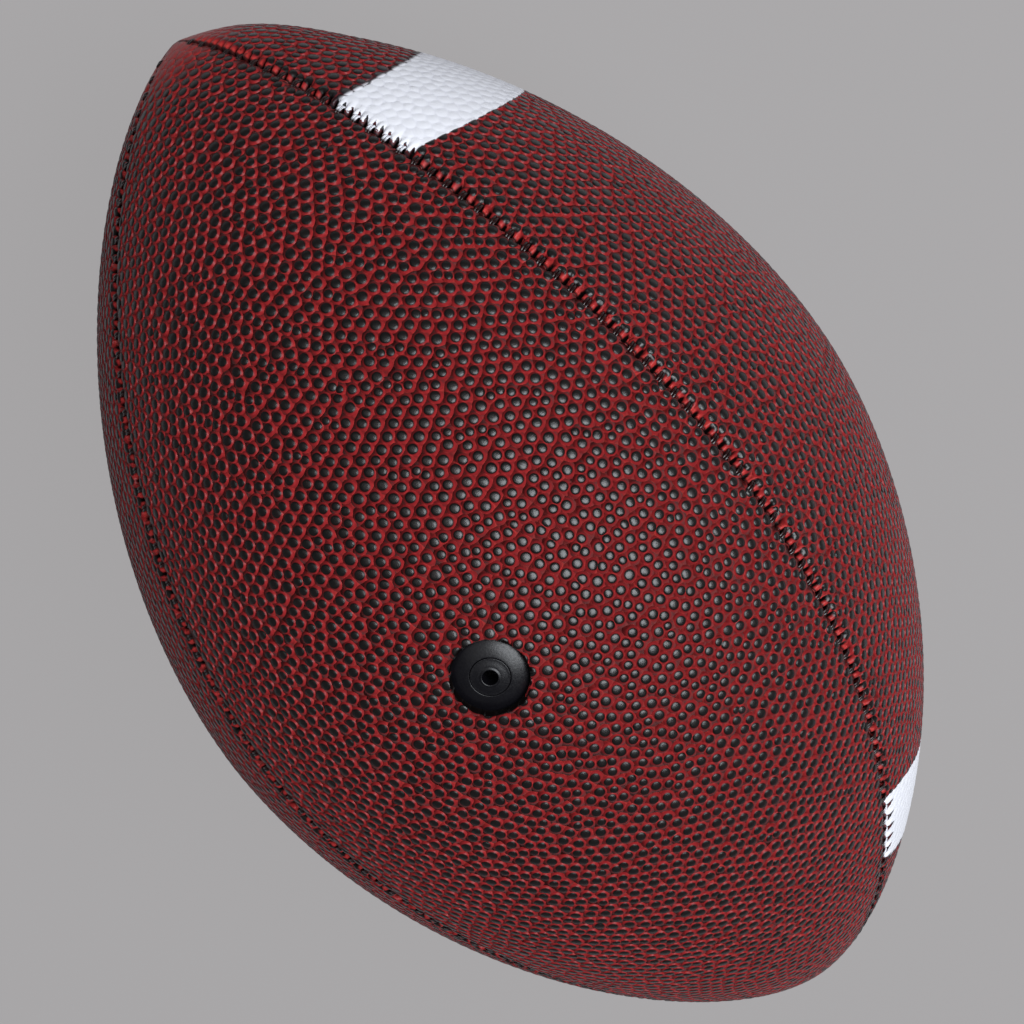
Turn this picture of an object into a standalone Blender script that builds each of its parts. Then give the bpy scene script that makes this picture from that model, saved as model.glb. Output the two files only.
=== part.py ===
"""American football, in metres: four sewn cover panels over linings, a bladder with its valve, and the lacing.

The long axis is X and the origin is the middle of the ball. The valve panel faces +Z, the panel beside it
that takes the painted stripes faces +Y, and the lacing lies on the seam between +Y and -Z.
"""

import math

import bmesh
import bpy
from mathutils import Vector

# The ball as a spindle: radius = DIAMETER / 2 * (1 - share ** FULLNESS) ** SHARPNESS, share 1 at a tip
LENGTH = 0.205
DIAMETER = 0.1265
FULLNESS = 1.88
SHARPNESS = 0.714
SEAM_TWIST = math.radians(7.7)

# Layers from the outside in, each a wall thickness, with the clearance between bonded layers
COVER_WALL = 0.0018
LINING_WALL = 0.0010
BLADDER_WALL = 0.0009
BOND_GAP = 0.0003
TIP_INSET = 1.3
TIP_HOLE_RADIUS = 0.0010
INNER_TIP_RADIUS = 0.0040

# Sewn seams
SEAM_GAP = 0.0004
ROLL_WIDTH = 0.0025
ROLL_WAIST = 0.0010
GROOVE_DEPTH = 0.0015
TURNED_EDGE = 0.0016
THREAD_DIAMETER = 0.0007
STITCH_PITCH = 0.0026
STITCH_REACH = 0.00055
THREAD_SINK = 0.00012
THREAD_TIP_RADIUS = 0.0060

# Valve
VALVE_X = -0.0042
VALVE_HOLE = 0.0117
VALVE_PLAY = 0.0003
RIM_DROP = 0.0009
DOME_RISE = 0.0006
NECK_TUBE_DIAMETER = 0.0085
NECK_TUBE_LENGTH = 0.0100
FLANGE_DIAMETER = 0.0180
FLANGE_THICKNESS = 0.0012
PLUG_HEAD_DIAMETER = 0.0058
PLUG_HEAD_HEIGHT = 0.0018
PLUG_RISE = 0.0003
PLUG_STEM_DIAMETER = 0.0046
PLUG_STEM_LENGTH = 0.0120
PLUG_PLAY = 0.00015
NEEDLE_HOLE = 0.0023
NEEDLE_DEPTH = 0.0060

# Lacing
LACE_COUNT = 8
LACE_PITCH = 0.0105
LACE_WIDTH = 0.0040
LACE_THICKNESS = 0.0014
LACE_REACH = 0.0090
LACE_SEAT = 0.00035
LACE_PLAY = 0.0003
LACE_BITE = 0.0005
SPINE_WIDTH = 0.0044
SPINE_END = 0.0050
SPINE_SHOULDER = 0.0008
FACING_WIDTH = 0.0140
FACING_END = 0.0090
FACING_WALL = 0.0007
GUARD_WIDTH = 0.0260
GUARD_END = 0.0080
GUARD_WALL = 0.0006

# Mesh fineness
ROWS = 21
COVER_COLUMNS = 11
EDGE_COLUMNS = 2
LINING_COLUMNS = 7
STRIP_ROWS = 13
STRIP_COLUMNS = 4
ROUND_SIDES = 24
WALK_STEPS = 4000
TIP_CROWDING = 0.4
ROUND_OFF = 1e-6
MERGE_DISTANCE = 1e-5
SMOOTH_BELOW = math.radians(35)

QUARTER = math.pi / 2
LACE_SEAM = -QUARTER / 2
PANELS = {"valve": QUARTER, "plain": 2 * QUARTER, "striped_lower": 3 * QUARTER, "striped_upper": 0.0}
LACE_PANELS = {"striped_upper": 1, "striped_lower": -1}

LINING_TOP = COVER_WALL + BOND_GAP
LINING_BASE = LINING_TOP + LINING_WALL
BLADDER_TOP = LINING_BASE + BOND_GAP
GUARD_BASE = BLADDER_TOP + GUARD_WALL
LINING_EDGE = SEAM_GAP / 2 + TURNED_EDGE + BOND_GAP
LACE_SPAN = (LACE_COUNT - 1) * LACE_PITCH

# Colours are (red, green, blue), roughness
COVER_FINISH = ((0.24, 0.022, 0.026), 0.5)
LINING_FINISH = ((0.55, 0.52, 0.45), 0.9)
BLADDER_FINISH = ((0.02, 0.02, 0.022), 0.6)
THREAD_FINISH = ((0.09, 0.012, 0.014), 0.35)
RUBBER_FINISH = ((0.012, 0.012, 0.014), 0.4)
LACE_FINISH = ((0.72, 0.73, 0.75), 0.55)
FACING_FINISH = ((0.20, 0.10, 0.08), 0.8)


def clear_scene():
    for old in list(bpy.data.objects):
        bpy.data.objects.remove(old, do_unlink=True)


def material(name, finish):
    colour, roughness = finish
    made = bpy.data.materials.new(name)
    made.use_nodes = True
    shader = made.node_tree.nodes["Principled BSDF"]
    shader.inputs["Base Color"].default_value = (*colour, 1)
    shader.inputs["Roughness"].default_value = roughness
    return made


def add_object(name, data, finish):
    made = bpy.data.objects.new(name, data)
    bpy.context.scene.collection.objects.link(made)
    data.materials.append(material(name, finish))
    return made


def add_mesh(name, bm, finish):
    """A named object from a closed bmesh, faces outwards, smooth except at its sharp edges."""
    bmesh.ops.recalc_face_normals(bm, faces=bm.faces)
    mesh = bpy.data.meshes.new(name)
    bm.to_mesh(mesh)
    bm.free()
    mesh.shade_smooth()
    mesh.set_sharp_from_angle(angle=SMOOTH_BELOW)
    return add_object(name, mesh, finish)


def as_cutter(obj):
    obj.hide_render = True
    obj.display_type = "WIRE"
    return obj


def cut(obj, cutter, operation="DIFFERENCE"):
    boolean = obj.modifiers.new(operation.lower(), "BOOLEAN")
    boolean.operation = operation
    boolean.solver = "EXACT"
    boolean.object = cutter


def spindle(share, depth):
    """(x, radius) a depth inside the outer surface, at a share of the half length."""
    half_length = LENGTH / 2 - TIP_INSET * depth
    radius = DIAMETER / 2 - depth
    return half_length * share, radius * (1 - abs(share) ** FULLNESS) ** SHARPNESS


def share_at_radius(radius):
    return (1 - (2 * radius / DIAMETER) ** (1 / SHARPNESS)) ** (1 / FULLNESS)


def share_at_x(x):
    return 2 * x / LENGTH


def stations(tip_radius):
    """Shares from tip to tip, closer together towards the tips."""
    end = share_at_radius(tip_radius)
    return [end * math.sin(QUARTER * (2 * row / (ROWS - 1) - 1)) for row in range(ROWS)]


def strip_stations(half_length):
    end = share_at_x(half_length)
    return [end * (2 * row / (STRIP_ROWS - 1) - 1) for row in range(STRIP_ROWS)]


def twist(share):
    return -SEAM_TWIST / 2 * share


def on_layer(share, angle, depth):
    x, radius = spindle(share, depth)
    turned = angle + twist(share)
    return Vector((x, radius * math.cos(turned), radius * math.sin(turned)))


def beside_seam(share, seam, distance, depth):
    """A point at a signed distance from a seam's middle, positive towards greater angles."""
    _, radius = spindle(share, depth)
    return on_layer(share, seam + math.asin(distance / radius), depth)


def grid(bm, rows, columns, place):
    """A sheet of quads whose corner (row, column) is at place(row, column)."""
    made = bmesh.ops.create_grid(bm, x_segments=rows - 1, y_segments=columns - 1, size=1)
    for vert in made["verts"]:
        row = round((vert.co.x + 1) / 2 * (rows - 1))
        column = round((vert.co.y + 1) / 2 * (columns - 1))
        vert.co = place(row, column)


def walled_sheet(rows, columns, outer, inner):
    """A closed body between two sheets of the same fineness, joined round their edges."""
    bm = bmesh.new()
    grid(bm, rows, columns, outer)
    grid(bm, rows, columns, inner)
    rim = [edge for edge in bm.edges if edge.is_boundary]
    bmesh.ops.bridge_loops(bm, edges=rim)
    return bm


def cover_columns(radius):
    """(angle from the panel's middle, depth) across a panel's outer face, rolled down at both seams.

    The roll narrows towards the tips, where the panel does.
    """
    room = min(1, TIP_CROWDING * radius / ROLL_WIDTH)
    edge = SEAM_GAP / 2

    def column(distance):
        drawn_in = edge + (distance - edge) * room
        depth = GROOVE_DEPTH * room * (1 - distance / ROLL_WIDTH) ** 2
        return QUARTER / 2 - math.asin(drawn_in / radius), depth

    half = [column(edge), column(ROLL_WAIST)]
    top, _ = column(ROLL_WIDTH)
    middle = [(top * (2 * i / (COVER_COLUMNS - 1) - 1), 0.0) for i in range(COVER_COLUMNS)]
    return [(-angle, depth) for angle, depth in half] + middle + half[::-1]


def cover_inner_columns(share):
    """(angle from the panel's middle, depth) across a panel's inner face, with both turned-in edges."""
    _, edge_radius = spindle(share, LINING_BASE)
    wall = QUARTER / 2 - math.asin(SEAM_GAP / 2 / edge_radius)
    lip = QUARTER / 2 - math.asin((SEAM_GAP / 2 + TURNED_EDGE) / edge_radius)
    half = [(wall, LINING_BASE), (lip, LINING_BASE)]
    middle = [(lip * (2 * i / (COVER_COLUMNS - 1) - 1), COVER_WALL) for i in range(COVER_COLUMNS)]
    return [(-angle, depth) for angle, depth in half] + middle + half[::-1]


def cover_panel(name, middle):
    outer_shares = stations(TIP_HOLE_RADIUS)
    inner_shares = stations(INNER_TIP_RADIUS)

    def outer(row, column):
        share = outer_shares[row]
        angle, depth = cover_columns(spindle(share, 0)[1])[column]
        return on_layer(share, middle + angle, depth)

    def inner(row, column):
        share = inner_shares[row]
        angle, depth = cover_inner_columns(share)[column]
        return on_layer(share, middle + angle, depth)

    columns = COVER_COLUMNS + 2 * EDGE_COLUMNS
    return add_mesh(name, walled_sheet(ROWS, columns, outer, inner), COVER_FINISH)


def lining_angles(share):
    """Angles from the panel's middle of the lining's columns."""
    _, radius = spindle(share, LINING_BASE)
    edge = QUARTER / 2 - math.asin(LINING_EDGE / radius)
    return [edge * (2 * i / (LINING_COLUMNS - 1) - 1) for i in range(LINING_COLUMNS)]


def lining_panel(name, middle):
    shares = stations(INNER_TIP_RADIUS)

    def face(depth):
        return lambda row, column: on_layer(shares[row], middle + lining_angles(shares[row])[column], depth)

    bm = walled_sheet(ROWS, LINING_COLUMNS, face(LINING_TOP), face(LINING_BASE))
    return add_mesh(name, bm, LINING_FINISH)


def seam_strip(half_length, low, high, top, base):
    """A strip beside the lacing seam, from one signed distance to another, between two depths."""
    shares = strip_stations(half_length)

    def face(depth):
        def place(row, column):
            distance = low + (high - low) * column / (STRIP_COLUMNS - 1)
            return beside_seam(shares[row], LACE_SEAM, distance, depth)

        return place

    return walled_sheet(STRIP_ROWS, STRIP_COLUMNS, face(top), face(base))


def bladder_depth(share, from_lace_seam):
    """Depth of the bladder's outer face: it lies against the linings, and dips under the lace guard."""
    half_length = LACE_SPAN / 2 + GUARD_END
    shares = stations(INNER_TIP_RADIUS)
    last = min(s for s in shares if s * LENGTH / 2 >= half_length + GUARD_WALL)
    radius = spindle(share, BLADDER_TOP)[1]
    columns = [QUARTER / 2 - angle for angle in lining_angles(share)]
    beyond = [angle for angle in columns if radius * math.sin(min(angle, QUARTER)) >= GUARD_WIDTH / 2]
    reach = min(beyond, default=max(columns))
    under_guard = abs(share) < last + ROUND_OFF and from_lace_seam < reach + ROUND_OFF
    return GUARD_BASE + BOND_GAP if under_guard else BLADDER_TOP


def bladder():
    """A sphere's rings and spokes moved on to the spindle, then given a wall."""
    shares = stations(INNER_TIP_RADIUS)
    spokes = len(PANELS) * LINING_COLUMNS
    bm = bmesh.new()
    bmesh.ops.create_uvsphere(bm, u_segments=spokes, v_segments=ROWS + 1, radius=1)
    for vert in bm.verts:
        ring = round((1 - math.acos(max(-1, min(1, vert.co.z))) / math.pi) * (ROWS + 1)) - 1
        if 0 <= ring < ROWS:
            share = shares[ring]
            spoke = round(math.atan2(vert.co.y, vert.co.x) / (2 * math.pi) * spokes) % spokes
            quarter, column = divmod(spoke, LINING_COLUMNS)
            angle = quarter * QUARTER + lining_angles(share)[column]
            from_lace_seam = abs((angle - LACE_SEAM + math.pi) % (2 * math.pi) - math.pi)
            vert.co = on_layer(share, angle, bladder_depth(share, from_lace_seam))
        else:
            vert.co = on_layer(math.copysign(1, vert.co.z), 0, BLADDER_TOP)
    made = add_mesh("bladder", bm, BLADDER_FINISH)
    wall = made.modifiers.new("wall", "SOLIDIFY")
    wall.thickness = BLADDER_WALL
    wall.offset = -1
    wall.use_even_offset = True
    return made


def seam_shares(start, end, pitch):
    """Shares at even steps of length along a seam."""
    found, travelled, last = [], 0.0, None
    for step in range(WALK_STEPS + 1):
        share = start + (end - start) * step / WALK_STEPS
        here = on_layer(share, 0, THREAD_SINK)
        travelled += (here - last).length if last else pitch
        last = here
        if travelled >= pitch:
            found.append(share)
            travelled -= pitch
    return found


def seam_thread(name, seam, start, end):
    """One thread that crosses its seam's groove at every stitch."""
    curve = bpy.data.curves.new(name, "CURVE")
    curve.dimensions = "3D"
    curve.bevel_depth = THREAD_DIAMETER / 2
    curve.bevel_resolution = 0
    curve.use_fill_caps = True
    spline = curve.splines.new("POLY")
    shares = seam_shares(start, end, STITCH_PITCH)
    spline.points.add(len(shares) - 1)
    for number, (point, share) in enumerate(zip(spline.points, shares)):
        side = 1 if number % 2 else -1
        point.co = (*beside_seam(share, seam, side * STITCH_REACH, THREAD_SINK), 1)
    return add_object(name, curve, THREAD_FINISH)


def turned(name, profile, finish):
    """A closed (radius, height) outline turned about the valve's axis, or a half outline that ends on it."""
    bm = bmesh.new()
    verts = [bm.verts.new((radius, 0, height)) for radius, height in profile]
    edges = [bm.edges.new(pair) for pair in zip(verts, verts[1:])]
    if profile[0][0] > 0:
        edges.append(bm.edges.new((verts[-1], verts[0])))
    bmesh.ops.spin(
        bm,
        geom=verts + edges,
        axis=(0, 0, 1),
        cent=(0, 0, 0),
        angle=2 * math.pi,
        steps=ROUND_SIDES,
        use_merge=True,
    )
    bmesh.ops.remove_doubles(bm, verts=bm.verts, dist=MERGE_DISTANCE)
    made = add_mesh(name, bm, finish)
    made.location.x = VALVE_X
    return made


def height_over_valve(wall, across):
    """Least height of a wall's inner face on a circle about the valve's axis."""
    bpy.context.view_layer.update()
    heights = []
    for step in range(ROUND_SIDES):
        turn = 2 * math.pi * step / ROUND_SIDES
        start = Vector((VALVE_X + across / 2 * math.cos(turn), across / 2 * math.sin(turn), 0))
        _, place, _, _ = wall.ray_cast(start, Vector((0, 0, 1)))
        heights.append(place.z)
    return min(heights)


def valve_cutter(name, diameter):
    """A round cutter down the valve's axis, from the middle of the ball to well above it."""
    radius = diameter / 2
    profile = [(0, 0), (radius, 0), (radius, DIAMETER), (0, DIAMETER)]
    return as_cutter(turned(name, profile, RUBBER_FINISH))


def dome_height(face, radius):
    """The domed face's height over its rim at a radius: a parabola that reaches DOME_RISE in the middle."""
    rim_radius = VALVE_HOLE / 2 - VALVE_PLAY
    return face - RIM_DROP + DOME_RISE * (1 - (radius / rim_radius) ** 2)


def valve_housing(face, seat):
    """Domed neck in the cover's hole, a flange under the bladder's wall, and a tube that holds the plug."""
    neck = VALVE_HOLE / 2 - VALVE_PLAY
    socket = PLUG_HEAD_DIAMETER / 2 + PLUG_PLAY
    bore = PLUG_STEM_DIAMETER / 2 + PLUG_PLAY
    flange = FLANGE_DIAMETER / 2
    tube = NECK_TUBE_DIAMETER / 2
    foot = seat - FLANGE_THICKNESS - NECK_TUBE_LENGTH
    shelf = plug_top(face) - PLUG_HEAD_HEIGHT - PLUG_PLAY
    halfway = (socket + neck) / 2
    profile = [
        (socket, dome_height(face, socket)),
        (halfway, dome_height(face, halfway)),
        (neck, dome_height(face, neck)),
        (neck, seat),
        (flange, seat),
        (flange, seat - FLANGE_THICKNESS),
        (tube, seat - FLANGE_THICKNESS),
        (tube, foot),
        (bore, foot),
        (bore, shelf),
        (socket, shelf),
    ]
    return turned("valve_housing", profile, RUBBER_FINISH)


def plug_top(face):
    return dome_height(face, 0) + PLUG_RISE


def valve_plug(face):
    """Headed rubber plug with a blind needle hole, on the valve's own axis."""
    top = plug_top(face)
    head = PLUG_HEAD_DIAMETER / 2
    stem = PLUG_STEM_DIAMETER / 2
    shoulder = top - PLUG_HEAD_HEIGHT
    needle = NEEDLE_HOLE / 2
    profile = [
        (0, shoulder - PLUG_STEM_LENGTH),
        (stem, shoulder - PLUG_STEM_LENGTH),
        (stem, shoulder),
        (head, shoulder),
        (head, top),
        (needle, top),
        (needle, top - NEEDLE_DEPTH),
        (0, top - NEEDLE_DEPTH),
    ]
    return turned("valve_plug", profile, RUBBER_FINISH)


def lace_places():
    return [share_at_x(LACE_PITCH * (number - (LACE_COUNT - 1) / 2)) for number in range(LACE_COUNT)]


def across_lace_seam(bm, share, outline, width):
    """A prism over the lace seam: an outline of (distance, height) points, as wide as given along the seam."""
    start = share - share_at_x(width / 2)
    end = share + share_at_x(width / 2)
    points = [beside_seam(start, LACE_SEAM, distance, -height) for distance, height in outline]
    near = bm.faces.new([bm.verts.new(point) for point in points])
    far = bmesh.ops.extrude_face_region(bm, geom=[near])
    verts = [item for item in far["geom"] if isinstance(item, bmesh.types.BMVert)]
    span = on_layer(end, LACE_SEAM, 0) - on_layer(start, LACE_SEAM, 0)
    bmesh.ops.translate(bm, verts=verts, vec=span)


def lace_bars():
    """The crossings: each lies on the cover, steps over the spine and turns down at both ends."""
    bm = bmesh.new()
    outer = LACE_REACH + LACE_THICKNESS / 2
    inner = LACE_REACH - LACE_THICKNESS / 2
    top = LACE_SEAT + LACE_THICKNESS
    step = top - LACE_BITE
    knee = SPINE_WIDTH / 2 + SPINE_SHOULDER
    half = [
        (knee - SPINE_SHOULDER, step),
        (knee, LACE_SEAT),
        (inner, LACE_SEAT),
        (inner, -LINING_BASE),
        (outer, -LINING_BASE),
        (outer, top - LACE_THICKNESS / 2),
        (inner, top),
        (knee + LACE_THICKNESS, top),
        (knee, step + LACE_THICKNESS),
    ]
    outline = half + [(-distance, height) for distance, height in reversed(half)]
    for share in lace_places():
        across_lace_seam(bm, share, outline, LACE_WIDTH)
    return as_cutter(add_mesh("lace_bars", bm, LACE_FINISH))


def lace():
    """One lace: a spine along the seam, with the crossings joined to it."""
    half_width = SPINE_WIDTH / 2
    spine = seam_strip(
        LACE_SPAN / 2 + SPINE_END, -half_width, half_width, -LACE_SEAT - LACE_THICKNESS, -LACE_SEAT
    )
    made = add_mesh("lace", spine, LACE_FINISH)
    cut(made, lace_bars(), "UNION")
    return made


def lace_hole_cutter(side):
    """Slots for the lace's turned-down ends, on one side of the seam."""
    bm = bmesh.new()
    inner = LACE_REACH - LACE_THICKNESS / 2 - LACE_PLAY
    outer = LACE_REACH + LACE_THICKNESS / 2 + LACE_PLAY
    base = -GUARD_BASE
    top = LACE_THICKNESS
    corners = [(inner, base), (outer, base), (outer, top), (inner, top)]
    outline = [(side * distance, height) for distance, height in corners]
    for share in lace_places():
        across_lace_seam(bm, share, outline, LACE_WIDTH + 2 * LACE_PLAY)
    return as_cutter(add_mesh(f"lace_holes_{side}", bm, LACE_FINISH))


def lace_facing(name, side):
    """Strip that backs one row of lace holes, in place of the lining there."""
    edges = sorted((side * LINING_EDGE, side * FACING_WIDTH))
    bm = seam_strip(LACE_SPAN / 2 + FACING_END, *edges, LINING_BASE - FACING_WALL, LINING_BASE)
    return add_mesh(name, bm, FACING_FINISH)


def facing_cutter():
    """The room that both facings take from the linings."""
    reach = FACING_WIDTH + BOND_GAP
    half_length = LACE_SPAN / 2 + FACING_END + BOND_GAP
    bm = seam_strip(half_length, -reach, reach, LINING_TOP - COVER_WALL / 2, LINING_BASE + LINING_WALL)
    return as_cutter(add_mesh("facing_room", bm, FACING_FINISH))


def lace_guard():
    """Strip under the laced opening, between the facings and the bladder."""
    half_width = GUARD_WIDTH / 2
    bm = seam_strip(LACE_SPAN / 2 + GUARD_END, -half_width, half_width, BLADDER_TOP, GUARD_BASE)
    return add_mesh("lace_guard", bm, FACING_FINISH)


def build():
    clear_scene()
    covers = {name: cover_panel(f"cover_panel_{name}", middle) for name, middle in PANELS.items()}
    linings = {name: lining_panel(f"lining_{name}", middle) for name, middle in PANELS.items()}
    air_bag = bladder()

    face = height_over_valve(covers["valve"], 0) + COVER_WALL
    seat = height_over_valve(air_bag, FLANGE_DIAMETER) - BOND_GAP
    valve_housing(face, seat)
    valve_plug(face)
    hole = valve_cutter("valve_hole", VALVE_HOLE)
    for layer in (covers["valve"], linings["valve"], air_bag):
        cut(layer, hole)

    room = facing_cutter()
    lace()
    lace_guard()
    for name, side in LACE_PANELS.items():
        facing = lace_facing(f"lace_facing_{name.split('_')[1]}", side)
        holes = lace_hole_cutter(side)
        cut(covers[name], holes)
        cut(facing, holes)
        cut(linings[name], room)

    tip = share_at_radius(THREAD_TIP_RADIUS)
    for number in (1, 2, 3):
        seam_thread(f"seam_thread_{number}", LACE_SEAM + number * QUARTER, -tip, tip)
    laced = share_at_x(LACE_SPAN / 2 + SPINE_END + THREAD_DIAMETER)
    seam_thread("lace_seam_thread_left", LACE_SEAM, -tip, -laced)
    seam_thread("lace_seam_thread_right", LACE_SEAM, laced, tip)


build()
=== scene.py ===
# %% [markdown]
# # A small American football
# The CAD frame brings the solids: four cover panels, their linings, a bladder with its valve,
# the sewing and the lacing. This lesson dresses them: an embossed and inked cover, sewn seams,
# painted stripes, a rubber valve and a grained lace. Sizes are in metres, X is the long axis and
# the valve looks up along +Z.

import math

import bmesh
import bpy
import numpy as np
from mathutils import Matrix, Vector, geometry, kdtree


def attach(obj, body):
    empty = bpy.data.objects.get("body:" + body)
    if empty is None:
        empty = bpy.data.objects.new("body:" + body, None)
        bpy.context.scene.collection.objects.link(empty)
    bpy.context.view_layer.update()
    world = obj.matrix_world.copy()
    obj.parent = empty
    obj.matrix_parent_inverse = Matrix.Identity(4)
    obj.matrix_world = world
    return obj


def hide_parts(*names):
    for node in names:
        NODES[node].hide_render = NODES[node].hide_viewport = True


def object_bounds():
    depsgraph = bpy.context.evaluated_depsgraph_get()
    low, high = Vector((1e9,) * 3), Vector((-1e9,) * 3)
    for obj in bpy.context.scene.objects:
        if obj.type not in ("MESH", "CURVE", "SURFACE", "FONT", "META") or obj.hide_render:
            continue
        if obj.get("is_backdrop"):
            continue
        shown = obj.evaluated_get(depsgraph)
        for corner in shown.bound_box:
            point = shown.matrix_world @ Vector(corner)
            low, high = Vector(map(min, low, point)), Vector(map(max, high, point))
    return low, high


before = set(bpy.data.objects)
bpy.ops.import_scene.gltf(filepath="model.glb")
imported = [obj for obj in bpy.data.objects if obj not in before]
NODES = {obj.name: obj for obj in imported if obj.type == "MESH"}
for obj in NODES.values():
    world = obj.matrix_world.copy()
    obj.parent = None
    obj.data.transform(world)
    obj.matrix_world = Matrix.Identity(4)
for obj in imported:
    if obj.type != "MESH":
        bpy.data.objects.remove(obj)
CAD_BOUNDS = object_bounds()
scene = bpy.context.scene

# %% [markdown]
# ## The ball's shape
# The ball is a spindle: a soft-pointed curve turned about X. Its seams run from tip to tip and
# lean a little, because the panels were pulled round when the ball was sewn and turned. A stretched
# sphere would be simpler, but its ends are round. A power curve gives the soft points, and every
# layer is the same curve, set in by its depth.

# %% The spindle
LENGTH = 0.205
DIAMETER = 0.1265
FULLNESS = 1.88
SHARPNESS = 0.714
SEAM_TWIST = math.radians(7.7)
TIP_INSET = 1.3
QUARTER = math.pi / 2
HALF_PANEL = QUARTER / 2
MM = 0.001


def spindle(share, depth=0.0):
    """Place along X and radius at a share of the half length, -1 to 1, on the layer at that depth."""
    x = (LENGTH / 2 - TIP_INSET * depth) * share
    return x, (DIAMETER / 2 - depth) * (1 - np.abs(share) ** FULLNESS) ** SHARPNESS


def on_layer(share, angle, depth=0.0):
    """Points on a layer. Angles run from +Y towards +Z and follow the lean of the seams."""
    x, radius = spindle(share, depth)
    turned = angle - SEAM_TWIST / 2 * share
    return np.stack([x, radius * np.cos(turned), radius * np.sin(turned)], axis=-1)


def eased(value, low, high):
    """0 below low, 1 above high, and a soft step between."""
    part = np.clip((value - low) / (high - low), 0, 1)
    return part * part * (3 - 2 * part)


print(f"ball {LENGTH / MM:.1f} mm long and {DIAMETER / MM:.1f} mm thick")

# %% [markdown]
# ## Walking along a seam
# A maker measures a panel with a tape along its seam. These tables do the same from tip to tip. They
# hold the length walked, the area passed, and a chart coordinate that keeps angles true, so that
# a small circle drawn on the flat chart is a circle on the ball.

# %% Tables along a seam
TIP_RADIUS = 0.0006
TABLE_SIZE = 20001

tip_share = (1 - (TIP_RADIUS / (DIAMETER / 2)) ** (1 / SHARPNESS)) ** (1 / FULLNESS)
SHARES = np.sin(np.linspace(-1, 1, TABLE_SIZE) * math.asin(tip_share))
X_TABLE, R_TABLE = spindle(SHARES)
steps = np.hypot(np.diff(X_TABLE), np.diff(R_TABLE))
mid_radius = (R_TABLE[1:] + R_TABLE[:-1]) / 2
ARCS = np.concatenate([[0], np.cumsum(steps)])
ARCS -= ARCS[-1] / 2
CHART = np.concatenate([[0], np.cumsum(steps / mid_radius)])
CHART -= CHART[-1] / 2
AREAS = np.concatenate([[0], np.cumsum(steps * mid_radius)]) * QUARTER


def radius_at(chart):
    return np.interp(chart, CHART, R_TABLE)


print(f"seam {2 * ARCS[-1] / MM:.0f} mm long, panel {AREAS[-1] / MM**2:.0f} mm2")

# %% [markdown]
# ## The edge of a panel
# A panel is a lens between two seams. The stitches will pull at its edge, so the edge gets four
# points to a stitch, at the same places on both sides of a seam.

# %% The rim on the chart
STITCH_PITCH = 0.00305
RIM_STEPS = 4


def ring_edges(count, first=0):
    """Pairs that join a run of points into a closed line."""
    return [(first + i, first + (i + 1) % count) for i in range(count)]


rim_half = int(RIM_STEPS * ARCS[-1] / STITCH_PITCH)
rim_arcs = np.arange(-rim_half, rim_half + 1) * STITCH_PITCH / RIM_STEPS
rim_chart = np.concatenate([CHART[:1], np.interp(rim_arcs, ARCS, CHART), CHART[-1:]])
low_rim = [(u, -HALF_PANEL) for u in rim_chart]
high_rim = [(u, HALF_PANEL) for u in rim_chart[::-1]]
RIM = np.array(low_rim + high_rim)
RIM_EDGES = ring_edges(len(RIM))
print("rim points:", len(RIM))

# %% [markdown]
# ## The embossed pebbles
# Football leather is pressed under a hot plate whose pits leave a foam of round pebbles. The
# pattern has no rows to speak of, but its cells are all about as large, so it is grown here the
# way foam settles: points are spread evenly and each is moved to the middle of its neighbours.
# The chart that they settle on keeps angles, so a pebble near a tip is as round as one in the middle.

# %% How the pebbles settle
SIZE_SWING = 0.30
SIZE_WAVES = ((2.3, 1.7, 0.6), (1.1, -3.9, 2.1), (5.2, 0.0, 0.9))


def triangulate(points, edges):
    """Well-shaped triangles between the points, inside the closed lines."""
    found = geometry.delaunay_2d_cdt([Vector(p) for p in points], edges, [], 1, 1e-7)
    return np.array([tuple(v) for v in found[0]]), np.array(found[2])


def crowding(points):
    """Slow swings in pebble size over the hide."""
    u, v = points.T
    swing = sum(np.sin(along * u + across * v + start) for along, across, start in SIZE_WAVES)
    return 1 + SIZE_SWING * swing / len(SIZE_WAVES)


def settle(seeds):
    """One round of foam settling: each seed goes to the middle of the triangles around it."""
    points, triangles = triangulate(np.concatenate([RIM, seeds]), RIM_EDGES)
    corners = points[triangles]
    middle = corners.mean(axis=1)
    one, two = corners[:, 1] - corners[:, 0], corners[:, 2] - corners[:, 0]
    weight = np.abs(one[:, 0] * two[:, 1] - one[:, 1] * two[:, 0])
    weight = weight * radius_at(middle[:, 0]) ** 2 * crowding(middle)
    total = np.zeros(len(points))
    moved = np.zeros((len(points), 2))
    for corner in range(3):
        np.add.at(total, triangles[:, corner], weight)
        np.add.at(moved, triangles[:, corner], weight[:, None] * middle)
    return (moved / total[:, None])[len(RIM):]


print("pebble sizes swing by", SIZE_SWING)

# %% [markdown]
# The first places come from a sequence that fills a square evenly. One shake before the last round
# keeps the cells from falling into rows and makes their sizes differ. Random places alone would
# leave clumps and holes, which a pressing plate doesn't have.

# %% Spreading and shaking the pebbles
PEBBLE_SPACING = 0.00212
SETTLE_ROUNDS = 6
PLASTIC = 1.32471795724474602596
SHAKE = 0.13
SHAKE_SEED = 11

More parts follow.
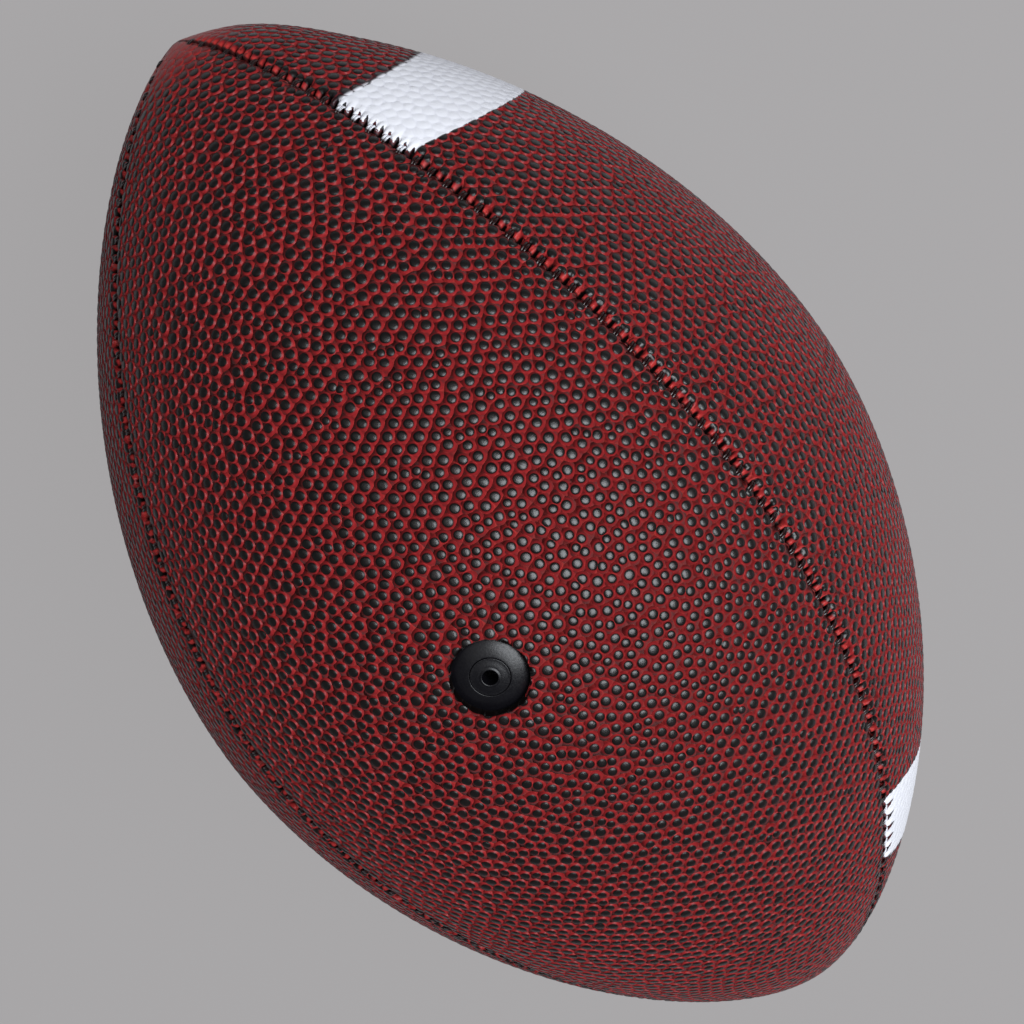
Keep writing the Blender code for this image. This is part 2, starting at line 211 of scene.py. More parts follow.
pebble_count = int(AREAS[-1] / (math.sqrt(3) / 2 * PEBBLE_SPACING**2))
order = np.arange(1, pebble_count + 1)
first = np.interp(order / PLASTIC % 1 * AREAS[-1], AREAS, CHART)
second = (order / PLASTIC**2 % 1 - 0.5) * 2 * HALF_PANEL
SEEDS = np.stack([first, second], axis=1)
for _ in range(SETTLE_ROUNDS):
    SEEDS = settle(SEEDS)
spread = PEBBLE_SPACING / radius_at(SEEDS[:, 0])
shaken = SEEDS + SHAKE * spread[:, None] * np.random.default_rng(SHAKE_SEED).normal(size=SEEDS.shape)
widest = HALF_PANEL - np.minimum(spread, HALF_PANEL) / 2
shaken[:, 0] = np.clip(shaken[:, 0], SEEDS[:, 0].min(), SEEDS[:, 0].max())
shaken[:, 1] = np.clip(shaken[:, 1], -widest, widest)
SEEDS = settle(shaken)
print("pebbles on a panel:", len(SEEDS))

# %% [markdown]
# ## The valve's hole
# The hole is punched through one panel before sewing. A boolean cut would leave long thin faces, so
# the hole is a closed line on the chart that the triangles stop at.

# %% The punched hole
VALVE_X = -0.0042
VALVE_HOLE = 0.0117
HOLE_POINTS = 44


def hole_line():
    """The valve's punched hole as a closed line in chart coordinates."""
    turn = np.linspace(0, 2 * np.pi, HOLE_POINTS, endpoint=False)
    share = (VALVE_X + VALVE_HOLE / 2 * np.cos(turn)) / (LENGTH / 2)
    sideways = np.arcsin(VALVE_HOLE / 2 * np.sin(turn) / np.interp(share, SHARES, R_TABLE))
    return np.stack([np.interp(share, SHARES, CHART), SEAM_TWIST / 2 * share - sideways], axis=1)


HOLE = hole_line()
HOLE_MIDDLE = HOLE.mean(axis=0)
HOLE_REACH = np.hypot(*(HOLE - HOLE_MIDDLE).T).mean()


def from_hole(points):
    """Distance from the hole's middle as a share of its radius."""
    return np.hypot(*(points - HOLE_MIDDLE).T) / HOLE_REACH


print("hole points:", len(HOLE))

# %% [markdown]
# ## A flat panel
# On the real ball a lens-shaped panel is cut from the embossed sheet and skived thin at its edge.
# The sheet here is cut the same way, as triangles between the pebble centres, still flat on the
# chart. Each triangle is divided so that a pebble gets a middle, a shoulder and a valley. The rim is
# extruded down into the wall, and a plain back closes the sheet.

# %% Cutting a flat sheet
PEBBLE_CUTS = 3
HOLE_CLEAR = 0.06
HOLE_INSIDE = 0.99
BACK_LEVEL = -1
MID_LEVEL = -0.5
WELD = 1e-6


def of_kind(geom, kind):
    return [item for item in geom if isinstance(item, kind)]


def lower(bm, geom):
    """Moves the points of some new geometry from the sheet's face to its back."""
    bmesh.ops.translate(bm, verts=of_kind(geom, bmesh.types.BMVert), vec=(0, 0, BACK_LEVEL))


def to_mesh(name, bm):
    """The bmesh as a mesh of that name. The bmesh is freed."""
    mesh = bpy.data.meshes.new(name)
    bm.to_mesh(mesh)
    bm.free()
    return mesh


def cut_triangles(seeds, holed):
    """The panel's triangles between pebble centres, rim and, on the valve panel, the hole."""
    points, edges = [RIM], list(RIM_EDGES)
    if holed:
        points.append(HOLE)
        edges += ring_edges(len(HOLE), len(RIM))
        seeds = seeds[np.abs(from_hole(seeds) - 1) > HOLE_CLEAR]
    corners, triangles = triangulate(np.concatenate([*points, seeds]), edges)
    if holed:
        triangles = triangles[from_hole(corners[triangles].mean(axis=1)) > HOLE_INSIDE]
    return corners, triangles


def flat_sheet(seeds, holed):
    """The panel as one closed sheet on the chart: its face at level 0 and its back at -1."""
    corners, triangles = cut_triangles(seeds, holed)
    bm = bmesh.new()
    verts = [bm.verts.new((*corner, 0.0)) for corner in corners]
    for triangle in triangles:
        bm.faces.new([verts[i] for i in triangle])
    bmesh.ops.delete(bm, geom=[v for v in bm.verts if not v.link_faces], context="VERTS")
    back = bmesh.ops.duplicate(bm, geom=bm.verts[:] + bm.edges[:] + bm.faces[:])["geom"]
    lower(bm, back)
    back_edges = set(of_kind(back, bmesh.types.BMEdge))
    divided = [e for e in bm.edges if e not in back_edges or e.is_boundary]
    bmesh.ops.subdivide_edges(bm, edges=divided, cuts=PEBBLE_CUTS, use_grid_fill=True)
    face_rim = [e for e in bm.edges if e.is_boundary and e.verts[0].co.z > MID_LEVEL]
    lower(bm, bmesh.ops.extrude_edge_only(bm, edges=face_rim)["geom"])
    low = [v for v in bm.verts if v.co.z < MID_LEVEL]
    bmesh.ops.remove_doubles(bm, verts=low, dist=WELD)
    bmesh.ops.triangulate(bm, faces=[f for f in bm.faces if len(f.verts) > 4])
    bmesh.ops.recalc_face_normals(bm, faces=bm.faces[:])
    return bm


print("cuts between two pebbles:", PEBBLE_CUTS)

# %% [markdown]
# ## Where a point is on its pebble
# A pebble swells from its valley to a round top. Each point is drawn outwards from its pebble's
# middle, which steepens the flank. The ink needs true round patches, so each corner of a face also
# keeps its place on that face's pebble, in shares of the pebble's half width. Keeping it on the
# corners lets two pebbles meet at an edge without their patches mixing.

# %% Pebble places
PEBBLE_SHOULDER = 0.34
NEIGHBOURS = 4
NEVER_ZERO = 1e-6


def pebble_tree(seeds):
    """A tree that finds the pebbles near a place on the chart."""
    tree = kdtree.KDTree(len(seeds))
    for index, seed in enumerate(seeds):
        tree.insert((*seed, 0.0), index)
    tree.balance()
    return tree


def nearest_pebble(flat, seeds, tree):
    """The nearest pebble's middle, and how far each point is on its way to the next pebble, 0 to 1."""
    hits = [tree.find_n((u, v, 0.0), 2) for u, v in flat]
    near = np.array([[pair[0][2], pair[1][2]] for pair in hits])
    middles = seeds[[pair[0][1] for pair in hits]]
    return middles, np.clip(2 * near[:, 0] / near.sum(axis=1), NEVER_ZERO, 1)


def drawn_out(flat, seeds, tree, free):
    """The points drawn out from their pebble's middle where they are free to move."""
    middles, apart = nearest_pebble(flat, seeds, tree)
    return flat + (flat - middles) * (free * (apart ** (PEBBLE_SHOULDER - 1) - 1))[:, None], apart


def pebble_width(seed, tree):
    """Mean distance to the pebbles next to this one."""
    around = tree.find_n((*seed, 0.0), NEIGHBOURS + 1)
    return np.mean([hit[2] for hit in around[1:]])


def disc_places(mesh, flat, warped, seeds, tree):
    """Each face corner's place on its face's pebble, in shares of the pebble's half width."""
    widths = np.array([pebble_width(seed, tree) for seed in seeds])
    corners = np.zeros(len(mesh.loops), dtype=np.int32)
    starts = np.zeros(len(mesh.polygons), dtype=np.int32)
    counts = np.zeros(len(mesh.polygons), dtype=np.int32)
    mesh.loops.foreach_get("vertex_index", corners)
    mesh.polygons.foreach_get("loop_start", starts)
    mesh.polygons.foreach_get("loop_total", counts)
    middles = np.add.reduceat(flat[corners], starts) / counts[:, None]
    own = np.repeat([tree.find((u, v, 0.0))[1] for u, v in middles], counts)
    return 2 * (warped[corners] - seeds[own]) / widths[own][:, None]


print("a pebble's width is measured to", NEIGHBOURS, "neighbours")

# %% [markdown]
# ## Where the stripes are
# Two white bands are painted on the two panels beside the lace. A band bows as it goes round the
# ball. The mesh keeps how far each point is past the band's two edges, and the paint follows that.

# %% Stripe edges
STRIPE_SEAM = ((-0.0817, -0.0699), (0.0608, 0.0752))
STRIPE_BOW = ((0.0027, 0.0052), (0.0070, 0.0075))
STRIPE_LEAN = math.radians(13)
STRIPE_CURVE = 1.5


def stripe_edges(x, v):
    """Distances in mm past a stripe's edge by the tip and past its inner edge. Both bands bow to +X."""
    seam, bow = np.array(STRIPE_SEAM), np.array(STRIPE_BOW)
    bowed = 1 - np.abs((v + STRIPE_LEAN) / (HALF_PANEL + STRIPE_LEAN)) ** STRIPE_CURVE
    left, right = seam[:, :, None] + bow[:, :, None] * bowed
    past_tip = np.where(x < 0, left[0] - x, x - right[1]) / MM
    past_inner = np.where(x < 0, x - left[1], right[0] - x) / MM
    return past_tip, past_inner


print("bands at the seam, in mm:", [[round(x / MM, 1) for x in band] for band in STRIPE_SEAM])

# %% [markdown]
# ## What pulls the cover in
# The thread pulls one of the two edges of a seam into short slots, two to a stitch. No two slots
# reach equally far. The lace draws the cover in round each of its holes. Both are given as shares,
# 0 to 1, which are later turned into depth.

# %% Slots and lace dimples
SLOT_PITCH = STITCH_PITCH / 2
PIT_REACH = (0.00030, 0.00118)
PIT_UNEVEN = (0.65, 0.6)
PIT_HALF = 0.00031
SCATTER = (12.9898, 43758.5453)
LACE_COUNT = 8
LACE_PITCH = 0.0105
LACE_REACH = 0.0090
LACE_DIMPLE = (0.0025, 0.0012)
SPINE_END = 0.0050
LACE_SEAM = -HALF_PANEL
LACE_XS = LACE_PITCH * (np.arange(LACE_COUNT) - (LACE_COUNT - 1) / 2)
LACED_HALF = LACE_XS[-1] + SPINE_END


def uneven(number):
    """A steady, irregular share between 0 and 1 for each whole number."""
    return (np.sin(number * SCATTER[0]) * SCATTER[1]) % 1


def stitch_slots(along, from_seam, pulled):
    """How far the thread pulls the edge in at its slots. A pulled edge has longer ones."""
    number = np.round(along / SLOT_PITCH)
    long_reach = PIT_REACH[1] * (PIT_UNEVEN[0] + PIT_UNEVEN[1] * uneven(number))
    reach = np.where(pulled, long_reach, PIT_REACH[0])
    return np.exp(-(((along - number * SLOT_PITCH) / PIT_HALF) ** 2)) / (1 + (from_seam / reach) ** 4)


def lace_pull(x, from_lace_seam):
    """How far the lace draws the cover in, 0 to 1, round each of its holes."""
    across = (from_lace_seam - LACE_REACH) / LACE_DIMPLE[1]
    return sum(np.exp(-(((x - place) / LACE_DIMPLE[0]) ** 2) - across**2) for place in LACE_XS)


print(f"laced for {2 * LACED_HALF / MM:.1f} mm, {LACE_COUNT} crossings")

# %% [markdown]
# ## The panel on the ball
# Sewn inside out and turned, the panel's edge rolls down into the seam, and the pebbles are ironed
# out there. Each point of the sheet is given a depth for all of this and laid on the spindle at that
# depth. A displacement texture could raise the pebbles, but the wall and the gap move sideways too.
# How high a point sits on its pebble, and how far it is from the seam, from a slot and from the
# edges of the stripes, is kept on the mesh, because the ink and the paint follow it.

# %% Laying a panel on the ball
COVER_WALL = 0.0018
PEBBLE_HEIGHT = 0.00022
PEBBLE_CROWN = 5.1
PEBBLE_FADE = (0.0005, 0.0019)
PEBBLE_TIP = 0.022
EDGE_TIP = 0.026
PULLED_EDGES = {"plain": (1, 0), "striped_lower": (1, 0), "striped_upper": (1, 1)}
LACED_EDGES = {"striped_upper": -1, "striped_lower": 1}
EDGE_GAP = 0.00005
ROLL_WIDTH = 0.0014
ROLL_DEPTH = 0.00045
PIT_DEPTH = 0.0010
PIT_OPENING = 0.00012
SLIT_OPENING = 0.00045
LACE_DRAW = 0.0011
STRIPE_FILL = 0.68
STRIPE_SOFT = 0.6
TIP_STEP = 0.0006
TIP_STEP_X = (0.086, 0.097)
TIP_STEP_RADIUS = (0.001, 0.012)
HOLE_SHADE = 0.7


def flat_points(mesh):
    """Each point's place on the chart, and its level: 0 on the face and -1 on the back."""
    places = np.zeros(3 * len(mesh.vertices))
    mesh.vertices.foreach_get("co", places)
    places = places.reshape(-1, 3)
    return places[:, :2], places[:, 2]


def form_on_ball(side, middle, flat, level, apart, pulled, fade):
    """The sheet's points on the ball, and the values that its finish follows."""
    u, v = flat.T
    share = np.interp(u, CHART, SHARES)
    along = np.interp(u, CHART, ARCS)
    radius = radius_at(u)
    x = LENGTH / 2 * share
    from_seam = (HALF_PANEL - np.abs(v)) * radius
    pressed = eased(from_seam, 0, fade) * eased(radius, 0, PEBBLE_TIP)
    rise = pressed * (1 - apart ** (PEBBLE_SHOULDER * PEBBLE_CROWN))

    laced_edge = LACED_EDGES.get(side, 0)
    past_tip, past_inner = stripe_edges(x, -v * laced_edge)
    by_lace = np.sign(v) * laced_edge > 0
    slit = by_lace * eased(LACED_HALF - np.abs(x), 0, STITCH_PITCH)
    thin = eased(radius, 0, EDGE_TIP)
    pit = stitch_slots(along, from_seam, pulled) * thin * (1 - slit)
    roll = np.clip(1 - from_seam / ROLL_WIDTH, 0, 1) ** 2 * thin
    painted = eased(-past_tip, -STRIPE_SOFT, 0) * eased(-past_inner, -STRIPE_SOFT, 0) * abs(laced_edge)

    relief = PEBBLE_HEIGHT * (1 - STRIPE_FILL * painted)
    depth = ROLL_DEPTH * roll + PIT_DEPTH * pit + relief * (1 - rise)
    depth += LACE_DRAW * by_lace * lace_pull(x, from_seam)
    if side == "striped_upper":
        depth -= TIP_STEP * eased(-x, *TIP_STEP_X) * eased(radius, *TIP_STEP_RADIUS)
    depth = np.where(level > MID_LEVEL, depth, COVER_WALL + PIT_DEPTH)
    gap = EDGE_GAP + PIT_OPENING * pit + SLIT_OPENING * slit
    angle = v - np.minimum(gap / radius, HALF_PANEL / 2) * v / HALF_PANEL
    # The "pit" value marks where shade is painted: in the slots, on the sheet's back and round the valve
    # hole.
    shade = np.maximum(pit, level < MID_LEVEL)
    if side == "valve":
        shade = np.maximum(shade, HOLE_SHADE * (np.abs(from_hole(flat) - 1) < HOLE_CLEAR / 3))
    kept = {
        "rise": rise,
        "pressed": pressed,
        "seam_mm": from_seam / MM,
        "stitch": along / STITCH_PITCH,
        "pit": shade,
        "past_tip": past_tip,
        "past_inner": past_inner,
    }
    return on_layer(share, middle + angle, depth), kept


def lay_on_ball(bm, side, middle, seeds):
    """Turns the flat sheet into the panel's mesh on the ball, with its pebbles and puckered edge."""
    # The chart's axes turn the other way round on the ball, so the faces are turned round first.
    bmesh.ops.reverse_faces(bm, faces=bm.faces)
    mesh = to_mesh("cover_" + side, bm)
    flat, level = flat_points(mesh)
    low_edge, high_edge = PULLED_EDGES.get(side, (0, 0))
    pulled = np.where(flat[:, 1] > 0, high_edge, low_edge)
    fade = np.where(pulled, PEBBLE_FADE[1], PEBBLE_FADE[0])
    free = eased((HALF_PANEL - np.abs(flat[:, 1])) * radius_at(flat[:, 0]), 0, fade)
    if side == "valve":
        free = free * eased(np.abs(from_hole(flat) - 1), 0, 2 * HOLE_CLEAR)
    tree = pebble_tree(seeds)
    warped, apart = drawn_out(flat, seeds, tree, free)
    discs = disc_places(mesh, flat, warped, seeds, tree)
    points, kept = form_on_ball(side, middle, warped, level, apart, pulled, fade)
    mesh.vertices.foreach_set("co", points.ravel())
    for name, values in kept.items():
        layer = mesh.attributes.new(name, "FLOAT", "POINT")
        layer.data.foreach_set("value", values.astype(np.float32))
    layer = mesh.attributes.new("disc", "FLOAT_VECTOR", "CORNER")
    layer.data.foreach_set("vector", np.pad(discs, ((0, 0), (0, 1))).astype(np.float32).ravel())
    mesh.shade_smooth()
    mesh.update()
    return mesh


print(f"pebbles stand {PEBBLE_HEIGHT / MM:.2f} mm high")

# %% [markdown]
# ## The four covers
# The panels are a quarter turn apart. One pattern of pebbles serves all four, mirrored in a different
# way on each, so that no two neighbours match.

# %% Making the covers
PANELS = {
    "valve": (QUARTER, (1, 1)),
    "plain": (2 * QUARTER, (-1, 1)),
    "striped_lower": (3 * QUARTER, (1, -1)),
    "striped_upper": (0.0, (-1, -1)),
}


def add_piece(name, mesh, replaced, body="ball"):
    """A finished piece in the scene, which rides on a body and stands for a CAD node."""
    piece = bpy.data.objects.new(name, mesh)
    scene.collection.objects.link(piece)
    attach(piece, body)
    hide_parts(replaced)
    mesh.calc_loop_triangles()
    print(name, len(mesh.loop_triangles), "triangles")
    return piece


covers = {}
for side, (middle, mirrored) in PANELS.items():
    own = SEEDS * np.array(mirrored)
    mesh = lay_on_ball(flat_sheet(own, side == "valve"), side, middle, own)
    covers[side] = add_piece("cover_" + side, mesh, "cover_panel_" + side)

# %% [markdown]
# ## One stitch
# The panels are lockstitched with waxed thread, and on the turned ball each stitch shows as a short
# double strand across the groove. One strand is a circle spun through half a turn and pressed flat,
# like a staple. A curve with a round section would do too, but a spin makes a strand in one step.

# %% A stitch of two strands
STITCH_SPAN = 0.00105
STITCH_ARCH = 0.60
STITCH_SINK = 0.00074
STITCH_SLANT = 0.12
STRAND_RADIUS = 0.00022
STRAND_APART = 0.00046
STRAND_SIDES = 6
STRAND_STEPS = 6


def stitch_mesh():
    """Two strands side by side: X across the seam, Y along it and Z outwards."""
    bm = bmesh.new()
    for side in (-1, 1):
        start = Matrix.Translation((STITCH_SPAN, side * STRAND_APART / 2, 0))
        ring = bmesh.ops.create_circle(bm, segments=STRAND_SIDES, radius=STRAND_RADIUS, matrix=start)
        edges = list({e for v in ring["verts"] for e in v.link_edges})
        middle = (0, side * STRAND_APART / 2, 0)
        bmesh.ops.spin(bm, geom=edges, cent=middle, axis=(0, -1, 0), angle=math.pi, steps=STRAND_STEPS)
    slant = (STITCH_SLANT, 1, 0, 0)
    press = (0, 0, STITCH_ARCH, -STITCH_SINK)
    lean = Matrix(((1, 0, 0, 0), slant, press, (0, 0, 0, 1)))
    bmesh.ops.transform(bm, matrix=lean, verts=bm.verts[:])
    ends = [e for e in bm.edges if e.is_boundary]
    bmesh.ops.holes_fill(bm, edges=ends, sides=STRAND_SIDES)
    bmesh.ops.recalc_face_normals(bm, faces=bm.faces[:])
    return to_mesh("stitch", bm)


STITCH = stitch_mesh()
print("a stitch has", len(STITCH.polygons), "faces")

# %% [markdown]
# ## The sewn seams
# Copies of the stitch are set along each seam, one to every second slot, up to the tips where the
# thread goes inside. The laced seam is sewn only from the lace to the tips. A stitch that crosses
# a painted band carries some paint on its striped side.

# %% Sewing the seams
STITCH_TIP_RADIUS = 0.0030
PROBE = 1e-4
STRIPED_SIDES = {1: (-1,), 2: (), 3: (1,)}


def seam_place(arc, seam):
    """Matrix that sets a stitch on a seam, at a length walked along it."""
    share = np.interp(arc, ARCS, SHARES)
    here = Vector(on_layer(share, seam))
    ahead, behind = on_layer(share + PROBE, seam), on_layer(share - PROBE, seam)
    along = (Vector(ahead) - Vector(behind)).normalized()
    across = Vector(on_layer(share, seam + PROBE)) - Vector(on_layer(share, seam - PROBE))
    out = along.cross(across).normalized()
    out = out if out.dot(Vector((0, here.y, here.z))) > 0 else -out
    across = along.cross(out).normalized()
    return Matrix.Translation(here) @ Matrix((across, along, out)).transposed().to_4x4()


def sew(name, seam, start, end, striped=(-1, 1)):
    """The stitches between two lengths walked along a seam. Paint reaches them on the striped sides."""
    bm = bmesh.new()
    painted = bm.verts.layers.float.new("painted")
    numbers = range(math.ceil(start / STITCH_PITCH), math.floor(end / STITCH_PITCH) + 1)
    for number in numbers:
        before = len(bm.verts)
        bm.from_mesh(STITCH)
        bm.verts.ensure_lookup_table()
        place = seam_place(number * STITCH_PITCH, seam)
        in_band = any(low < place.translation.x < high for low, high in STRIPE_SEAM)
        for vert in bm.verts[before:]:
            vert[painted] = in_band and any(side * vert.co.x > 0 for side in striped)
        bmesh.ops.transform(bm, matrix=place, verts=bm.verts[before:])
    mesh = to_mesh(name, bm)
    mesh.shade_smooth()
    print(len(numbers), "stitches")
    return add_piece(name, mesh, name.replace("stitches", "thread"))


sewn_half = np.interp(-STITCH_TIP_RADIUS, -R_TABLE[TABLE_SIZE // 2:], ARCS[TABLE_SIZE // 2:])
laced_arc = np.interp(LACED_HALF, X_TABLE, ARCS) + STITCH_PITCH / 4
threads = [
    sew(f"seam_stitches_{number}", LACE_SEAM + number * QUARTER, -sewn_half, sewn_half, striped)
    for number, striped in STRIPED_SIDES.items()
]
threads.append(sew("lace_seam_stitches_left", LACE_SEAM, -sewn_half, -laced_arc))
threads.append(sew("lace_seam_stitches_right", LACE_SEAM, laced_arc, sewn_half))

# %% [markdown]
# ## Turned shapes
# The valve's two pieces are moulded round. Stacked cylinders would leave hard joins, so each piece is
# drawn as half an outline and spun about the valve's axis, which also keeps the needle hole open.

# %% Spinning an outline
TURN_STEPS = 72
ARC_POINTS = 7
SHARP_ANGLE = math.radians(50)


def arc_line(centre, radius, start, end):
    """Points on an arc of an outline, angles in degrees."""
    turns = np.radians(np.linspace(start, end, ARC_POINTS))
    return [(centre[0] + radius * math.cos(t), centre[1] + radius * math.sin(t)) for t in turns]


def turned_mesh(name, outline):
    """A (radius, height) outline spun about the valve's axis into a closed body."""
    bm = bmesh.new()
    verts = [bm.verts.new((radius, 0, height)) for radius, height in outline]
    edges = [bm.edges.new(pair) for pair in zip(verts, verts[1:])]
    if outline[0][0] > 0:
        edges.append(bm.edges.new((verts[-1], verts[0])))
    bmesh.ops.spin(
        bm,
        geom=verts + edges,
        cent=(0, 0, 0),
        axis=(0, 0, 1),
        angle=2 * math.pi,
        steps=TURN_STEPS,
        use_merge=True,
    )
    bmesh.ops.remove_doubles(bm, verts=bm.verts[:], dist=WELD)
    bmesh.ops.recalc_face_normals(bm, faces=bm.faces[:])
    bmesh.ops.translate(bm, verts=bm.verts[:], vec=(VALVE_X, 0, 0))
    mesh = to_mesh(name, bm)
    mesh.shade_smooth()
    mesh.set_sharp_from_angle(angle=SHARP_ANGLE)
    return mesh


print("turned in", TURN_STEPS, "steps")

# %% [markdown]
# ## The valve's neck
# A moulded rubber neck sits in the cover's hole. Its face is a low dome with a socket for the plug's
# head, a flange bonds it to the bladder, and a short tube runs inside.

# %% The neck
DOME_TOP = 0.0627
DOME_DROP = 0.0011
DOME_CURVE = 3.2
DOME_RADIUS = 0.00583
DOME_POINTS = 16
SOCKET_RADIUS = 0.00302
SOCKET_LIP = 0.00010
SHELF_Z = 0.060931
BORE_RADIUS = 0.00245
FLANGE_Z = 0.05689
FLANGE_RADIUS = 0.0090
FLANGE_WALL = 0.0012
TUBE_RADIUS = 0.00425
TUBE_LENGTH = 0.0100


def dome_z(radius):
    return DOME_TOP - DOME_DROP * (radius / DOME_RADIUS) ** DOME_CURVE


lip_radius = SOCKET_RADIUS + SOCKET_LIP
foot = FLANGE_Z - FLANGE_WALL - TUBE_LENGTH
housing_line = [
    (BORE_RADIUS, foot),
    (BORE_RADIUS, SHELF_Z),
    (SOCKET_RADIUS, SHELF_Z),
    *arc_line((lip_radius, dome_z(lip_radius) - SOCKET_LIP), SOCKET_LIP, 180, 96),
    *((r, dome_z(r)) for r in np.linspace(lip_radius, DOME_RADIUS, DOME_POINTS)),
    (DOME_RADIUS, FLANGE_Z),
    (FLANGE_RADIUS, FLANGE_Z),
    (FLANGE_RADIUS, FLANGE_Z - FLANGE_WALL),
    (TUBE_RADIUS, FLANGE_Z - FLANGE_WALL),
    (TUBE_RADIUS, foot),
]
neck_mesh = turned_mesh("valve_neck", housing_line)
housing = add_piece("valve_neck", neck_mesh, "valve_housing")

# %% [markdown]
# ## The valve's plug
# The plug has a flat head in the neck's socket and a stem that seals the air in. A raised ring guides
# the pump's needle into the hole down its middle. It can be pulled out, so it rides on its own body.

# %% The plug
PLUG_TOP = 0.06288
PLUG_HEAD_RADIUS = 0.00297
PLUG_HEAD_HEIGHT = 0.0018
PLUG_SHOULDER = 0.00010
PLUG_SLOPE = 0.00016
PLUG_DISH = 0.00012
HEAD_POINTS = 12
STEM_RADIUS = 0.0023
STEM_LENGTH = 0.0120
NEEDLE_RADIUS = 0.00115
NEEDLE_LIP = 0.00016
NEEDLE_RING = 2.4
NEEDLE_DEPTH = 0.0060

plug_base = PLUG_TOP - PLUG_HEAD_HEIGHT
head_edge = PLUG_HEAD_RADIUS - PLUG_SHOULDER
ring_edge = NEEDLE_RADIUS + NEEDLE_RING * NEEDLE_LIP
head_rs = np.linspace(head_edge, ring_edge, HEAD_POINTS)
head_zs = PLUG_TOP - PLUG_DISH - PLUG_SLOPE * eased(head_rs, ring_edge, head_edge)
plug_line = [
    (0, plug_base - STEM_LENGTH),
    (STEM_RADIUS, plug_base - STEM_LENGTH),
    (STEM_RADIUS, plug_base),
    (PLUG_HEAD_RADIUS, plug_base),
    *arc_line((head_edge, head_zs[0] - PLUG_SHOULDER), PLUG_SHOULDER, 0, 80),
    *zip(head_rs, head_zs),
    *arc_line((NEEDLE_RADIUS + NEEDLE_LIP, PLUG_TOP - NEEDLE_LIP), NEEDLE_LIP, 60, 180),
    (NEEDLE_RADIUS, PLUG_TOP - NEEDLE_DEPTH),
    (0, PLUG_TOP - NEEDLE_DEPTH),
]
stopper_mesh = turned_mesh("valve_stopper", plug_line)
plug = add_piece("valve_stopper", stopper_mesh, "valve_plug", "plug")

# %% [markdown]
# ## A strip of lace
# The lace is a flat strip of grained vinyl with rounded edges. Each length of it is a flat grid that
# is given its thickness by extruding it, has its edges bevelled, and is then laid over the ball. The
# fine grid lets it bend smoothly.

# %% Making and laying a strip
LACE_ROUND = 0.00045
LACE_ROUND_STEPS = 3
WIDTH_DIVISIONS = 6
FOLD_ANGLE = 1.0


def strip(length, width, thickness, divisions):
    """A flat strip with rounded edges: X along it, Y across it, Z up through its thickness."""
    bm = bmesh.new()
    bmesh.ops.create_grid(bm, x_segments=divisions, y_segments=WIDTH_DIVISIONS, size=0.5)
    bmesh.ops.scale(bm, verts=bm.verts[:], vec=(length, width, 1))
    top = bmesh.ops.extrude_face_region(bm, geom=bm.faces[:])["geom"]
    bmesh.ops.translate(bm, verts=of_kind(top, bmesh.types.BMVert), vec=(0, 0, thickness))
    bmesh.ops.recalc_face_normals(bm, faces=bm.faces[:])
    sharp = [e for e in bm.edges if len(e.link_faces) == 2 and e.calc_face_angle() > FOLD_ANGLE]
    bmesh.ops.bevel(
        bm,
        geom=sharp,
        offset=LACE_ROUND,
        offset_type="OFFSET",
        affect="EDGES",
        segments=LACE_ROUND_STEPS,
        profile=0.5,
        material=-1,
    )
    return bm


def over_seam(x, across, height):
    """Points near the lace seam: place along X, distance across the seam and height over the cover."""
    share = x / (LENGTH / 2)
    radius = spindle(share)[1]
    return on_layer(share, LACE_SEAM + across / radius, -height)


def move_points(bm, places):
    for vert, place in zip(bm.verts, places):
        vert.co = place


def laid(bm, path_along, path_up, x_place):
    """Lays a strip along its path over the seam, given as points across the seam and their heights."""
    lengths = np.concatenate([[0], np.cumsum(np.hypot(np.diff(path_along), np.diff(path_up)))])
    lengths -= lengths[-1] / 2
    flat = np.array([v.co for v in bm.verts])
    across = np.interp(flat[:, 0], lengths, path_along)
    up = np.interp(flat[:, 0], lengths, path_up)
    slope_a = np.interp(flat[:, 0], lengths, np.gradient(path_along, lengths))
    slope_u = np.interp(flat[:, 0], lengths, np.gradient(path_up, lengths))
    move_points(bm, over_seam(x_place + flat[:, 1], across - slope_u * flat[:, 2], up + slope_a * flat[:, 2]))


def put_into(whole, part):
    """Adds one bmesh to another and frees it."""
    scratch = to_mesh("scratch", part)
    whole.from_mesh(scratch)
    bpy.data.meshes.remove(scratch)


print("strips are", WIDTH_DIVISIONS, "faces wide")

# %% [markdown]
# ## The lacing
# The lace runs along the seam where the two striped panels meet and crosses it eight times. Each
# crossing goes over the spine, down on to the cover and into its holes. The spine's ends dip to the
# cover. The real lace is one long strip. Here it is a spine and crossings, kept as one piece, because
# its hidden lengths inside the ball aren't needed.

# %% Lacing the seam
LACE_WIDTH = 0.0040
LACE_THICKNESS = 0.0014
LACE_SEAT = 0.00020
SPINE_WIDTH = 0.0044
SPINE_STEP = (0.0002, 0.0022)
SPINE_DIP = 0.0011
SPINE_DIP_REACH = 0.003
SPINE_DIVISIONS = 120
CROSS_DIVISIONS = 44
CROSS_POINTS = 400
DIVE_DEPTH = 0.0032
DIVE_WIDTH = 0.0016
DIVE_CURVE = 2.5


def crossing_path():
    """A crossing's underside: over the spine, down on to the cover, and into its holes."""
    across = np.linspace(-LACE_REACH, LACE_REACH, CROSS_POINTS)
    side = np.abs(across)
    spine_side = SPINE_WIDTH / 2
    over = LACE_THICKNESS * (1 - eased(side, spine_side - SPINE_STEP[0], spine_side + SPINE_STEP[1]))
    down = DIVE_DEPTH * np.clip((side - LACE_REACH + DIVE_WIDTH) / DIVE_WIDTH, 0, 1) ** DIVE_CURVE
    return across, LACE_SEAT + over - down


